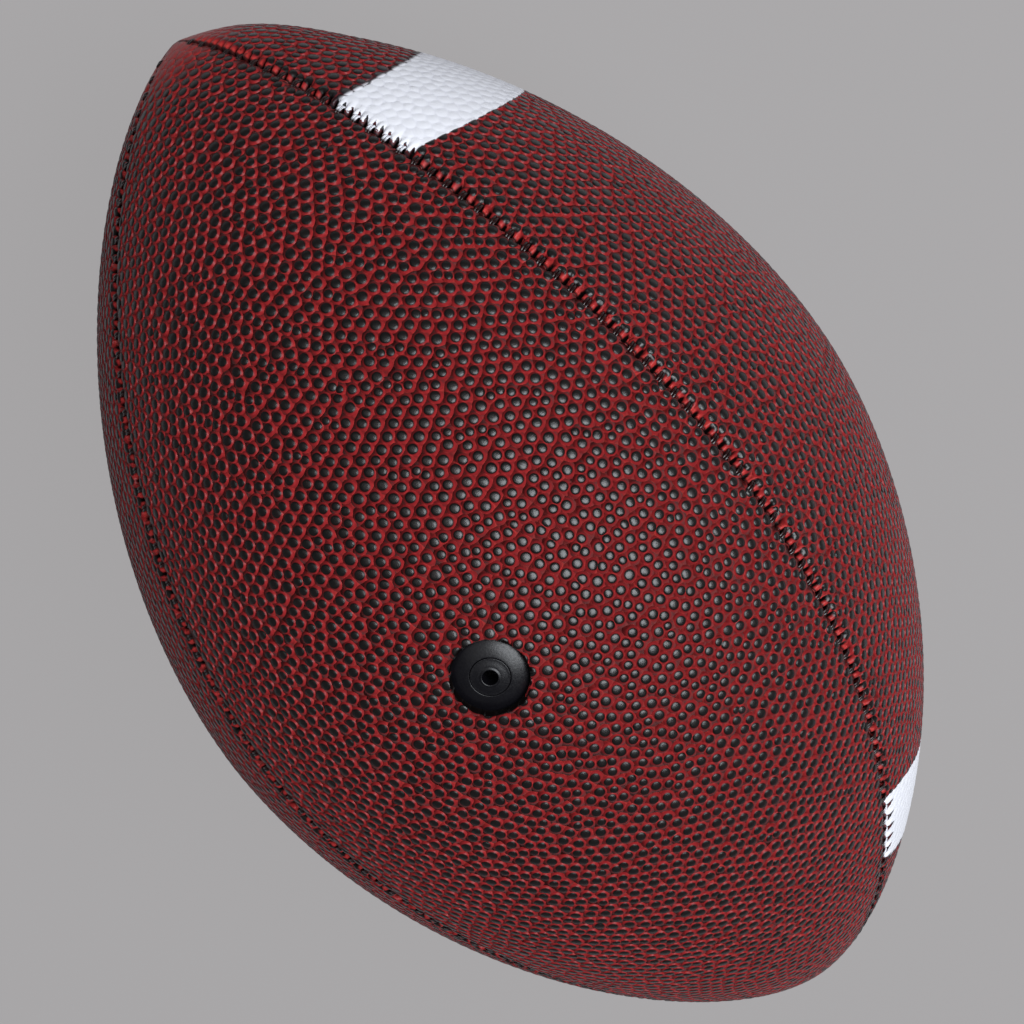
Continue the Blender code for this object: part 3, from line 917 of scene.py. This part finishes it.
path_across, path_up = crossing_path()
path_length = np.hypot(np.diff(path_across), np.diff(path_up)).sum()
lace_bm = bmesh.new()
for place in LACE_XS:
    bar = strip(path_length, LACE_WIDTH, LACE_THICKNESS, CROSS_DIVISIONS)
    laid(bar, path_across, path_up, place)
    put_into(lace_bm, bar)
spine = strip(2 * LACED_HALF, SPINE_WIDTH, LACE_THICKNESS, SPINE_DIVISIONS)
spine_flat = np.array([v.co for v in spine.verts])
end_dip = SPINE_DIP * eased(np.abs(spine_flat[:, 0]), LACED_HALF - SPINE_DIP_REACH, LACED_HALF)
move_points(spine, over_seam(spine_flat[:, 0], spine_flat[:, 1], spine_flat[:, 2] + LACE_SEAT - end_dip))
put_into(lace_bm, spine)
bmesh.ops.recalc_face_normals(lace_bm, faces=lace_bm.faces[:])
lace_mesh = to_mesh("lacing", lace_bm)
lace_mesh.shade_smooth()
lace = add_piece("lacing", lace_mesh, "lace")

# %% [markdown]
# ## A helper for finishes
# Every finish is procedural, so that it looks the same at any distance. The same few nodes come back
# in each of them, and this class adds and joins them in short words.

# %% Adding and joining nodes


class Finish:
    """One material and short ways to add and join its nodes."""

    def __init__(self, name):
        self.material = bpy.data.materials.new(name)
        self.material.use_nodes = True
        self.tree = self.material.node_tree
        self.shader = self.tree.nodes["Principled BSDF"]
        print("finish:", name)

    def add(self, kind, inputs=(), output=0, **settings):
        """A node with its settings. Inputs that are sockets are joined, and values are set."""
        node = self.tree.nodes.new("ShaderNode" + kind)
        for key, value in settings.items():
            setattr(node, key, value)
        for key, value in dict(inputs).items():
            self.put(node.inputs[key], value)
        return node.outputs[output]

    def put(self, socket, value):
        if isinstance(value, bpy.types.NodeSocket):
            self.tree.links.new(value, socket)
        else:
            socket.default_value = value

    def set(self, **values):
        for key, value in values.items():
            self.put(self.shader.inputs[key.replace("_", " ")], value)

    def math(self, operation, one, two=0.5, three=0.5):
        return self.add("Math", {0: one, 1: two, 2: three}, operation=operation)

    def ramp(self, value, low, high, to_low=0.0, to_high=1.0):
        inputs = {"Value": value, "From Min": low, "From Max": high, "To Min": to_low, "To Max": to_high}
        return self.add("MapRange", inputs, interpolation_type="SMOOTHSTEP")

    def mix(self, factor, one, two):
        inputs = {"Factor": factor, 6: one, 7: two}
        return self.add("Mix", inputs, output=2, data_type="RGBA")

    def attribute(self, name):
        return self.add("Attribute", output=2, attribute_name=name)

    def reach(self, name):
        """The length of a vector attribute."""
        vector = self.add("Attribute", output=1, attribute_name=name)
        return self.add("VectorMath", {0: vector}, output=1, operation="LENGTH")

    def place(self):
        return self.add("TexCoord", output=3)

    def noise(self, scale, detail=2.0, rough=0.5):
        inputs = {"Vector": self.place(), "Scale": scale, "Detail": detail, "Roughness": rough}
        return self.add("TexNoise", inputs)

    def bump(self, height, strength, distance):
        inputs = {"Height": height, "Strength": strength, "Distance": distance}
        return self.add("Bump", inputs)


# %% [markdown]
# ## Red hide and dark ink
# The hide is dyed red and a roller leaves dark ink on the pebbles' tops. So each pebble has a round
# dark patch with a ragged edge, and its flank is darkened, partly by a haze of ink and partly as
# painted shade. A painted highlight, a bright red line, runs where it meets the next one. The disc
# kept on the mesh says how far a place is from its pebble's middle: 0 there, and about 1 at the
# pebble's edge. A picture of leather could be wrapped on instead, but its pebbles wouldn't match
# those of the mesh.

# %% Red and ink
RED = (0.300, 0.0190, 0.0213, 1)
RED_DEEP = (0.225, 0.0132, 0.0152, 1)
RED_CREASE_HIGHLIGHT = (0.440, 0.0360, 0.0320, 1)
RED_SHADE = (0.075, 0.0055, 0.0063, 1)
HIDE_SCALE = 130.0
FLANK_HAZE_AND_SHADE_EDGE = (0.62, 0.98)
FLANK_HAZE_AND_SHADE_MOST = 0.9
CREASE_HIGHLIGHT_RISE = 0.26
CREASE_HIGHLIGHT_MOST = 0.8
INK = (0.0034, 0.0025, 0.0023, 1)
INK_WORN = (0.009, 0.005, 0.005, 1)
INK_EDGE = (0.67, 0.79)
BLOTCH_SCALE = 520.0
BLOTCH_SPAN = 0.30
WEAR_SCALE = 210.0
WEAR_EDGE = (0.55, 0.8)


def ink_patch(finish, disc, shown):
    """1 on a pebble's inked top, with a ragged edge."""
    blotch = finish.math("MULTIPLY_ADD", finish.noise(BLOTCH_SCALE), BLOTCH_SPAN, -BLOTCH_SPAN / 2)
    inked = finish.ramp(finish.math("ADD", disc, blotch), *INK_EDGE, 1.0, 0.0)
    return finish.math("MULTIPLY", inked, shown)


def inked_hide(finish, rise, disc, shown, ink):
    """The hide's colour: mottled red, darkened on the flanks by ink haze and by painted shade, with a painted
    highlight in the creases, and inked on top.
    """
    # The flank is darkened towards RED_SHADE, partly as a haze of ink and partly as painted shade.
    flank_haze_and_shade = finish.math("MULTIPLY", finish.ramp(disc, *FLANK_HAZE_AND_SHADE_EDGE, FLANK_HAZE_AND_SHADE_MOST, 0.0), shown)
    # Painted highlight: the crease where two pebbles meet is painted bright red.
    crease_highlight = finish.ramp(rise, 0.0, CREASE_HIGHLIGHT_RISE, 1.0, 0.0)
    red = finish.mix(finish.noise(HIDE_SCALE), RED_DEEP, RED)
    red = finish.mix(flank_haze_and_shade, red, RED_SHADE)
    red = finish.mix(finish.math("MULTIPLY", crease_highlight, CREASE_HIGHLIGHT_MOST), red, RED_CREASE_HIGHLIGHT)
    worn = finish.ramp(finish.noise(WEAR_SCALE), *WEAR_EDGE)
    dark = finish.mix(worn, INK, INK_WORN)
    return finish.mix(ink, red, dark)


print("ink ends at", INK_EDGE, "of a pebble's half width")

# %% [markdown]
# ## Painted stripes
# The stripes are sprayed through a mask once the panel is embossed. Their inner edge is crisp, and
# the edge by the tip is soft with dark overspray past it. Along the seam the stitches keep the paint
# off in ragged notches, so it ends in a comb: two fine slanted notches to a stitch by the left tip,
# and one broad deep notch to a stitch by the right.

# %% Stripe and comb
WANDER_SCALE = 900.0
WANDER_SPAN = 0.28
SOFT_EDGE = (-0.30, 0.40)
CRISP_EDGE = (-0.08, 0.08)
SPRAY_START = (-0.4, 0.1)
SPRAY_END = (0.2, 1.5)
SPRAY_MOST = 0.9
BALL_MIDDLE = (-0.02, 0.02)
COMB_NOTCHES = (2.0, 1.0)
COMB_SLANT = (0.12, 0.0)
COMB_DEPTH = (1.1, 2.2)
COMB_WIDTH = (0.24, 0.28)
COMB_POINT = 0.02
COMB_EDGE = (-0.10, 0.14)
FRAY_SCALE = 3400.0
FRAY_SPAN = 0.9


def stripe_mask(finish):
    """Paint in the bands, crisp on the inner edge, and dark overspray past the edge by the tip."""
    past_tip = finish.attribute("past_tip")
    wander = finish.math("MULTIPLY_ADD", finish.noise(WANDER_SCALE), WANDER_SPAN, -WANDER_SPAN / 2)
    past_inner = finish.math("ADD", finish.attribute("past_inner"), wander)
    soft = finish.ramp(past_tip, *SOFT_EDGE, 1.0, 0.0)
    crisp = finish.ramp(past_inner, *CRISP_EDGE, 1.0, 0.0)
    fading = finish.ramp(past_tip, *SPRAY_END, SPRAY_MOST, 0.0)
    spray = finish.math("MULTIPLY", finish.ramp(past_tip, *SPRAY_START), fading)
    return finish.math("MULTIPLY", soft, crisp), spray


def comb(finish):
    """1 on the panel and 0 where a stitch keeps the paint off, in ragged notches along the seam."""
    seam = finish.attribute("seam_mm")
    x = finish.add("SeparateXYZ", {0: finish.place()})
    notches, slant, depth, width = (
        finish.ramp(x, *BALL_MIDDLE, *by_end) for by_end in (COMB_NOTCHES, COMB_SLANT, COMB_DEPTH, COMB_WIDTH)
    )
    slots = finish.math("MULTIPLY", finish.attribute("stitch"), notches)
    phase = finish.math("PINGPONG", finish.math("MULTIPLY_ADD", seam, slant, slots), 0.5)
    notch = finish.ramp(phase, COMB_POINT, width, depth, 0.0)
    ragged = finish.math("MULTIPLY_ADD", finish.noise(FRAY_SCALE, 3.0), FRAY_SPAN, notch)
    return finish.ramp(finish.math("SUBTRACT", seam, ragged), *COMB_EDGE)


print("comb notches to a stitch, left and right:", COMB_NOTCHES)

# %% [markdown]
# ## The covers' finish
# The pebbles' tops are rubbed smooth and shine, and their flanks stay dull, so the highlight breaks
# up into one small spot to a pebble. The mesh carries the pebbles' main height, and a fine bump rounds
# their tops and adds the grain. Paint fills the valleys, and its white is painted a little darker
# there as shade. Painted shade darkens the groove and the slots.

# %% Finishing the covers
WHITE = (0.84, 0.84, 0.89, 1)
WHITE_VALLEY_SHADE_AND_THREAD_PAINT = (0.81, 0.81, 0.87, 1)
WHITE_SHADE_RISE = 0.7
SEAM_GROOVE_SHADE = (0.013, 0.005, 0.005, 1)
GROOVE_SHADE_MM = 0.34
GROOVE_SHADE_MOST = 0.9
SLOT_SHADE = (0.0022, 0.0014, 0.0014, 1)
SLOT_SHADE_EDGE = (0.12, 0.55)
OVERSPRAY = (0.018, 0.015, 0.019, 1)
BAND_DARKENING = 0.75
PRESSED_EDGE = (0.25, 0.65)
HIDE_ROUGH = 0.34
INK_SMOOTHER = -0.01
PAINT_ROUGHER = 0.12
POLISH_EDGE = (0.42, 0.76)
POLISH_GLOSS = 0.38
FLANK_GLOSS = 0.14
PAINT_IN_PITS = 0.7
PAINT_ON_TOPS = -0.97
TOP_CURVE = 4.6
TOP_BUMP = 0.00030
GRAIN_SCALE = 5200.0
GRAIN_SHARE = 0.09
SHEEN = 0.03
SHEEN_ROUGH = 0.45
SHEEN_TINT = (1.0, 0.90, 0.88, 1)


def cover_finish(name, striped):
    finish = Finish(name)
    rise = finish.attribute("rise")
    pit = finish.attribute("pit")
    disc = finish.reach("disc")
    pressed = finish.attribute("pressed")
    shown = finish.ramp(pressed, *PRESSED_EDGE)
    ink = ink_patch(finish, disc, shown)
    colour = inked_hide(finish, rise, disc, shown, ink)
    # Painted shade: the hide is darkened towards the seam's groove.
    groove_shade = finish.ramp(finish.attribute("seam_mm"), 0.0, GROOVE_SHADE_MM, GROOVE_SHADE_MOST, 0.0)
    colour = finish.mix(groove_shade, colour, SEAM_GROOVE_SHADE)
    rough = finish.math("MULTIPLY_ADD", ink, INK_SMOOTHER, HIDE_ROUGH)
    polish = finish.math("MULTIPLY", finish.ramp(disc, *POLISH_EDGE, 1.0, 0.0), shown)
    gloss = finish.math("MULTIPLY_ADD", polish, POLISH_GLOSS, FLANK_GLOSS)
    round_top = finish.math("SUBTRACT", 1.0, finish.math("POWER", disc, TOP_CURVE))
    dome = finish.math("MULTIPLY", round_top, pressed)
    if striped:
        band, spray = stripe_mask(finish)
        paint = finish.math("MULTIPLY", band, comb(finish))
        # Inside the band the hide is darkened towards OVERSPRAY, which shows as dark notches where the comb
        # keeps the paint off.
        darkened_in_band = finish.math("MULTIPLY", band, BAND_DARKENING)
        colour = finish.mix(finish.math("MAXIMUM", darkened_in_band, spray), colour, OVERSPRAY)
        # Painted shade: the white is a little darker low between the pebbles. On the thread the same colour
        # is the paint.
        white = finish.mix(finish.ramp(rise, 0.0, WHITE_SHADE_RISE), WHITE_VALLEY_SHADE_AND_THREAD_PAINT, WHITE)
        colour = finish.mix(paint, colour, white)
        rough = finish.math("MULTIPLY_ADD", paint, PAINT_ROUGHER, rough)
        pit = finish.math("SUBTRACT", pit, finish.math("MULTIPLY", paint, PAINT_IN_PITS))
        dome = finish.math("MULTIPLY", dome, finish.math("MULTIPLY_ADD", paint, PAINT_ON_TOPS, 1.0))
    # Painted shade: the slots, the sheet's back and the hole's edge are painted near black.
    slot_shade = finish.ramp(pit, *SLOT_SHADE_EDGE)
    colour = finish.mix(slot_shade, colour, SLOT_SHADE)
    gloss = finish.math("MULTIPLY", gloss, finish.math("SUBTRACT", 1.0, slot_shade))
    height = finish.math("MULTIPLY_ADD", finish.noise(GRAIN_SCALE, 3.0), GRAIN_SHARE, dome)
    finish.set(Base_Color=colour, Roughness=rough, Specular_IOR_Level=gloss)
    finish.set(Sheen_Weight=SHEEN, Sheen_Roughness=SHEEN_ROUGH, Sheen_Tint=SHEEN_TINT)
    finish.set(Normal=finish.bump(height, 1.0, TOP_BUMP))
    return finish.material


for side, cover in covers.items():
    cover.data.materials.append(cover_finish("cover_" + side, side.startswith("striped")))

# %% [markdown]
# ## Thread, rubber and lace
# The thread is waxed and close to black, with a fine fibre. The rubber of the valve is satin black
# with moulding grain, and the lace is white vinyl pressed with a fine leather grain, with painted
# shade in the grain's creases, and a little soiled.

# %% Finishing the small pieces
THREAD_DARK = (0.004, 0.002, 0.002, 1)
THREAD_PALE = (0.022, 0.006, 0.006, 1)
RUBBER_DARK = (0.0022, 0.0020, 0.0030, 1)
RUBBER_DUSTY = (0.0042, 0.0038, 0.0055, 1)
RUBBER_GLOSS = 0.34
VINYL_CREASE_SHADE = (0.55, 0.54, 0.53, 1)
VINYL = (0.80, 0.81, 0.84, 1)
VINYL_SOIL = (0.52, 0.47, 0.42, 1)
VINYL_GRAIN = 1400.0


def thread_finish():
    finish = Finish("waxed_thread")
    fibre = finish.noise(5200.0, 3.0)
    colour = finish.mix(fibre, THREAD_DARK, THREAD_PALE)
    paint = finish.math("MULTIPLY", finish.attribute("painted"), finish.ramp(fibre, 0.30, 0.45))
    colour = finish.mix(paint, colour, WHITE_VALLEY_SHADE_AND_THREAD_PAINT)
    finish.set(Base_Color=colour, Roughness=finish.ramp(fibre, 0.2, 0.8, 0.10, 0.28))
    finish.set(Normal=finish.bump(fibre, 0.35, 0.0001))
    return finish.material


def rubber_finish():
    finish = Finish("valve_rubber")
    grain = finish.noise(3800.0, 4.0)
    colour = finish.mix(finish.noise(420.0), RUBBER_DARK, RUBBER_DUSTY)
    finish.set(Base_Color=colour, Roughness=finish.ramp(grain, 0.3, 0.7, 0.28, 0.40))
    finish.set(Specular_IOR_Level=RUBBER_GLOSS)
    finish.set(Normal=finish.bump(grain, 0.16, 0.00008))
    return finish.material


def lace_finish():
    finish = Finish("lace_vinyl")
    grain = {"Vector": finish.place(), "Scale": VINYL_GRAIN}
    cells = finish.add("TexVoronoi", grain, feature="DISTANCE_TO_EDGE")
    creases = finish.ramp(cells, 0.0, 0.16)
    # Painted shade: the grain's creases are painted darker.
    colour = finish.mix(creases, VINYL_CREASE_SHADE, VINYL)
    soil = finish.ramp(finish.noise(160.0), 0.5, 0.8, 0.0, 0.35)
    colour = finish.mix(soil, colour, VINYL_SOIL)
    finish.set(Base_Color=colour, Roughness=finish.ramp(creases, 0.0, 1.0, 0.62, 0.42))
    finish.set(Normal=finish.bump(creases, 0.35, 0.00012))
    return finish.material


thread_material = thread_finish()
for thread in threads:
    thread.data.materials.append(thread_material)
rubber_material = rubber_finish()
for piece in (housing, plug):
    piece.data.materials.append(rubber_material)
lace.data.materials.append(lace_finish())

# %% [markdown]
# ## The inner layers
# The inner layers keep their CAD solids, since nothing shows of them but their finish: cotton linings
# with a plain weave, a dusted rubber bladder, and the coated cloth that backs the lace holes.

# %% Finishing the inner layers
COTTON = ((0.38, 0.35, 0.29, 1), (0.62, 0.59, 0.52, 1), 420.0)
COATED_CLOTH = ((0.12, 0.055, 0.045, 1), (0.26, 0.14, 0.11, 1), 300.0)
BLADDER_DARK = (0.015, 0.015, 0.017, 1)
BLADDER_DUSTED = (0.05, 0.05, 0.05, 1)


def weave_finish(name, low, high, thread_count):
    finish = Finish(name)
    warp, weft = (
        finish.add("TexWave", {"Vector": finish.place(), "Scale": thread_count}, bands_direction=direction)
        for direction in ("X", "DIAGONAL")
    )
    cloth = finish.math("MULTIPLY", warp, weft)
    fluff = finish.noise(900.0, 3.0)
    colour = finish.mix(finish.math("MULTIPLY_ADD", fluff, 0.4, cloth), low, high)
    finish.set(Base_Color=colour, Roughness=finish.ramp(fluff, 0.0, 1.0, 0.8, 0.95))
    finish.set(Normal=finish.bump(cloth, 0.5, 0.0002))
    return finish.material


def bladder_finish():
    finish = Finish("bladder_rubber")
    powder = finish.noise(90.0, 4.0)
    colour = finish.mix(finish.ramp(powder, 0.4, 0.7), BLADDER_DARK, BLADDER_DUSTED)
    finish.set(Base_Color=colour, Roughness=finish.ramp(powder, 0.3, 0.7, 0.5, 0.8))
    finish.set(Normal=finish.bump(finish.noise(2200.0), 0.2, 0.0001))
    return finish.material


inner_finishes = {
    "lining": weave_finish("lining_cloth", *COTTON),
    "bladder": bladder_finish(),
    "lace_": weave_finish("facing_cloth", *COATED_CLOTH),
}
for name, node in NODES.items():
    for start, material in inner_finishes.items():
        if name.startswith(start):
            node.data.materials.clear()
            node.data.materials.append(material)

# %% [markdown]
# ## Sheets
# The covers, linings, facings and the lace guard are cut flat and stretched over the bladder. A cover
# or a lining is a lens between two seams, so its area is well under its width times its length. The
# linings' cuts are worked out from the spindle at their depth, less what is trimmed at seams and tips.

# %% The sheets' cuts
COVER_CUT = (QUARTER * DIAMETER / 2, 2 * ARCS[-1])
LINING_DEPTH = 0.0026
LINING_EDGE = 0.0021
LINING_TIP = 0.0040
FACING_CUT = (0.0119, 0.0915)
GUARD_CUT = (0.0260, 0.0895)

lining_xs, lining_rs = spindle(SHARES, LINING_DEPTH)
lining_steps = np.hypot(np.diff(lining_xs), np.diff(lining_rs)) * (lining_rs[1:] > LINING_TIP)
lining_widths = QUARTER * lining_rs[1:] - 2 * LINING_EDGE
LINING_CUT = (lining_widths.max(), lining_steps.sum())
cuts = {"cover": COVER_CUT, "lining": LINING_CUT, "facing": FACING_CUT, "guard": GUARD_CUT}
for label, cut in cuts.items():
    print(label, "cut from", [round(side / MM, 1) for side in cut], "mm")

# %% [markdown]
# ## Camera
# The photograph looks down on the valve panel from about a third of a metre, with the long axis
# turned across the frame. The place and the three axes below were fitted to the ball's outline and
# seams, so the camera is set by a matrix and not aimed by eye.

# %% The photograph's camera
CAMERA_PLACE = (-0.0940, 0.0754, 0.3063)
CAMERA_RIGHT = (0.5482, 0.8352, -0.0435)
CAMERA_UP = (-0.7916, 0.5014, -0.3493)
CAMERA_BACK = (-0.2699, 0.2259, 0.9360)
CAMERA_LENS = 65.83
CAMERA_NEAR = 0.01
SENSOR = 36.0

camera_data = bpy.data.cameras.new("camera")
camera_data.lens = CAMERA_LENS
camera_data.sensor_width = SENSOR
camera_data.clip_start = CAMERA_NEAR
camera = bpy.data.objects.new("camera", camera_data)
axes = Matrix((CAMERA_RIGHT, CAMERA_UP, CAMERA_BACK)).transposed()
camera.matrix_world = Matrix.Translation(CAMERA_PLACE) @ axes.to_4x4()
scene.collection.objects.link(camera)
scene.camera = camera
print(f"camera {Vector(CAMERA_PLACE).length:.2f} m from the ball's middle")

# %% [markdown]
# ## Floor
# The floor is plain and pale. Most of what the camera sees of it is a steady glow, so that it is as
# even as studio paper. The rest is lit like any surface, and so it keeps the ball's shadow.

# %% The floor
FLOOR_Z = -DIAMETER / 2
FLOOR_SIZE = 6.0
FLOOR_COLOUR = (0.40, 0.39, 0.395, 1)
FLOOR_ROUGH = 0.85
FLOOR_GLOW = (0.397, 0.386, 0.391, 1)
FLOOR_GLOW_SHARE = 0.91

floor_bm = bmesh.new()
bmesh.ops.create_grid(floor_bm, x_segments=1, y_segments=1, size=FLOOR_SIZE)
bmesh.ops.translate(floor_bm, verts=floor_bm.verts[:], vec=(0, 0, FLOOR_Z))
floor = bpy.data.objects.new("floor", to_mesh("floor", floor_bm))
scene.collection.objects.link(floor)
floor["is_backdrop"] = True
paper = Finish("floor")
paper.set(Base_Color=FLOOR_COLOUR, Roughness=FLOOR_ROUGH)
glow = paper.add("Emission", {"Color": FLOOR_GLOW, "Strength": 1.0})
seen = paper.math("MULTIPLY", paper.add("LightPath"), FLOOR_GLOW_SHARE)
both = paper.add("MixShader", {0: seen, 1: paper.shader.outputs[0], 2: glow})
paper.tree.links.new(both, paper.tree.nodes["Material Output"].inputs["Surface"])
floor.data.materials.append(paper.material)

# %% [markdown]
# ## Light
# One soft, slightly cool light stands beyond the striped panel, and makes the highlight beside the
# valve. A weaker and larger one fills from above. A dim room lights the rest evenly.

# %% The lights
LIGHTS = {
    "key": ((0.07, 0.45, 0.89), 0.65, 0.46, 6.0, (0.92, 0.96, 1.0)),
    "fill": ((-0.32, 0.0, 0.95), 1.5, 1.4, 2.6, (1.0, 1.0, 1.0)),
}
ROOM_COLOUR = (0.92, 0.95, 1.0, 1)
ROOM_STRENGTH = 0.112


def area_light(name, toward, distance, size, power, colour):
    """A square soft light in that direction from the ball, aimed at its middle."""
    data = bpy.data.lights.new(name, "AREA")
    data.shape = "SQUARE"
    data.size = size
    data.energy = power
    data.color = colour
    lamp = bpy.data.objects.new(name, data)
    aim = Vector(toward).normalized()
    facing = aim.to_track_quat("Z", "Y").to_matrix().to_4x4()
    lamp.matrix_world = Matrix.Translation(aim * distance) @ facing
    scene.collection.objects.link(lamp)
    print("light:", name, power, "W")


for name, values in LIGHTS.items():
    area_light(name, *values)
world = bpy.data.worlds.new("room")
scene.world = world
world.use_nodes = True
room_light = world.node_tree.nodes["Background"]
room_light.inputs["Color"].default_value = ROOM_COLOUR
room_light.inputs["Strength"].default_value = ROOM_STRENGTH
scene.view_settings.view_transform = "Standard"

# %% [markdown]
# ## Sizes kept
# The dressed ball should fill the same box as the solids, so both boxes are kept and printed in mm.

# %% Measuring the box
DRESSED_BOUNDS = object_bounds()
kept_sizes = {
    "cad": [list(corner) for corner in CAD_BOUNDS],
    "dressed": [list(corner) for corner in DRESSED_BOUNDS],
}
for label, corners in kept_sizes.items():
    print(label, [[round(value / MM, 1) for value in corner] for corner in corners])
